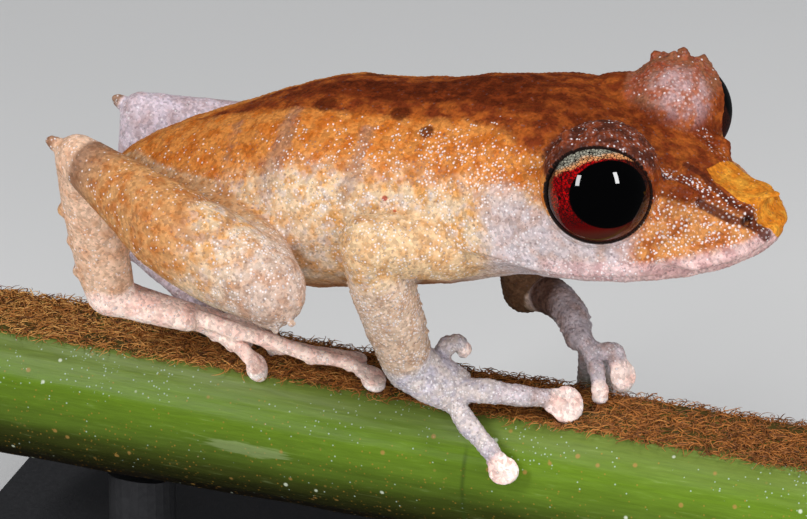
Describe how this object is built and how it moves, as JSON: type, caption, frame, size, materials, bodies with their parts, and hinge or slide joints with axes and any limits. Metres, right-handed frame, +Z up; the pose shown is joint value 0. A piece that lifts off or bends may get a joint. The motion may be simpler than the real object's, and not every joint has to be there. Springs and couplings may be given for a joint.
{
  "type": "rain frog on a stem",
  "caption": "Life-size still model of a small brown rain frog gripping a cut length of plant stem, on a flat base with short rods.",
  "frame": {"origin": "middle of the base's underside", "axes": "+X along the stem, towards the frog's snout; +Y to the frog's left; +Z up"},
  "size_m": [0.034, 0.02, 0.0238],
  "materials": {
    "skin": "moist granular skin, satin",
    "eye": "wet gloss",
    "stem": "smooth plant skin, hairy on top",
    "stand": "matt"
  },
  "bodies": {
    "root": {"head": "skin", "torso": "skin", "upper_arm_right": "skin", "upper_arm_left": "skin", "forearm_right": "skin", "forearm_left": "skin", "hand_right": "skin", "hand_left": "skin", "thigh_right": "skin", "thigh_left": "skin", "shank_right": "skin", "shank_left": "skin", "tarsus_right": "skin", "tarsus_left": "skin", "foot_right": "skin", "foot_left": "skin", "eye_right": "eye", "eye_left": "eye", "perch_stem": "stem", "stand_base": "stand", "stand_rod_front": "stand", "stand_rod_back": "stand"}
  },
  "joints": []
}
